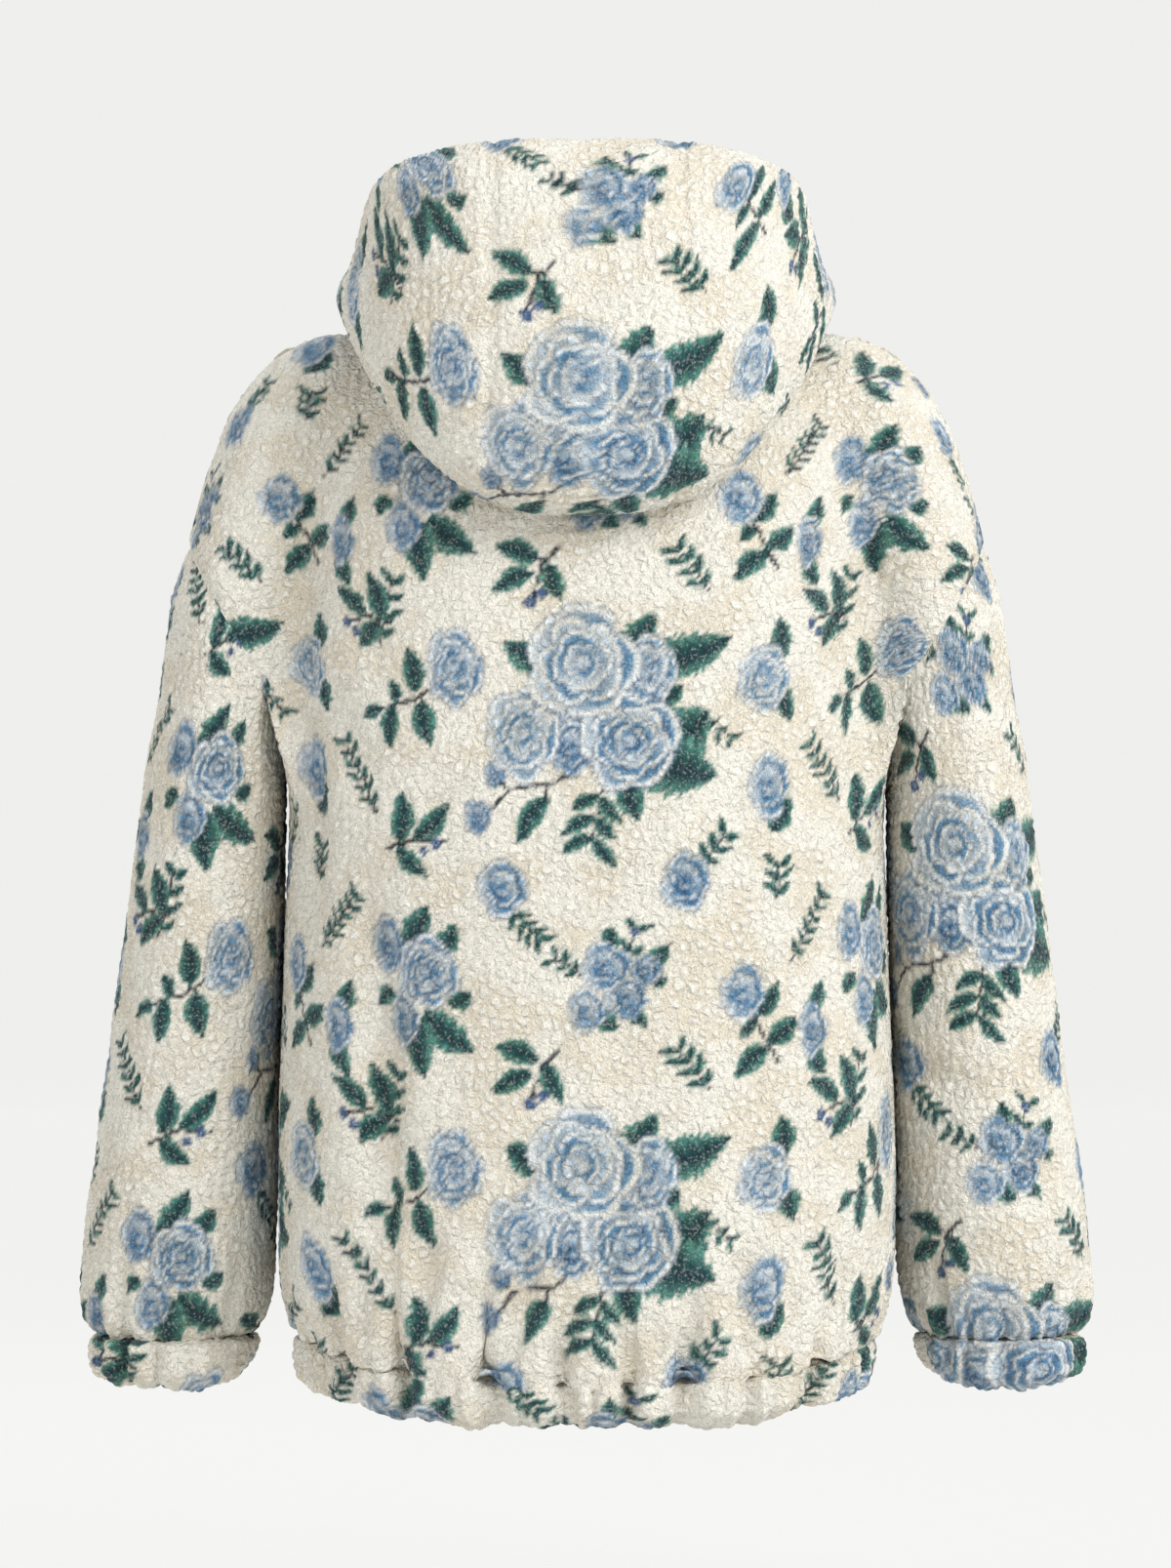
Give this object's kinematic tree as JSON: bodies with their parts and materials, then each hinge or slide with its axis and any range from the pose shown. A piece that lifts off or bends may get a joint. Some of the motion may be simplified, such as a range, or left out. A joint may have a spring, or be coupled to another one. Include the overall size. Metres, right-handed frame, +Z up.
{
  "type": "sherpa jacket, zipped and filled out, held up by its wearer's neck and shoulders",
  "caption": "Hooded zip sherpa jacket with an all-over blue rose print on cream, filled out as worn, hood pushed back.",
  "frame": {"origin": "middle of the neck, at the height of the shoulders' highest points, where a wearer or a hanger holds it up", "axes": "+Z up, +Y towards the zip at the front, -Y towards the back that the picture shows, +X towards the wearer's right"},
  "size_m": [0.6788, 0.374, 0.8364],
  "materials": {
    "sherpa": "matt",
    "tape": "matt",
    "zip_metal": "satin"
  },
  "bodies": {
    "jacket": {"back_panel": "sherpa", "back_yoke": "sherpa", "front_left": "sherpa", "front_right": "sherpa", "sleeve_left": "sherpa", "sleeve_right": "sherpa", "hood_centre": "sherpa", "hood_side_left": "sherpa", "hood_side_right": "sherpa", "hem_casing": "sherpa", "cuff_casing_left": "sherpa", "cuff_casing_right": "sherpa", "zip_tape_left": "tape", "zip_tape_right": "tape", "zip_chain": "zip_metal", "zip_slider": "zip_metal", "zip_end_box": "zip_metal"},
    "pull_tab": {"zip_pull_tab": "zip_metal"}
  },
  "joints": [
    {"name": "pull_tab_hinge", "type": "hinge", "parent": "jacket", "child": "pull_tab", "pos_m": [0, 0.12605, -0.06808], "axis": [1, 0, 0], "range_deg": [0, 120]}
  ]
}
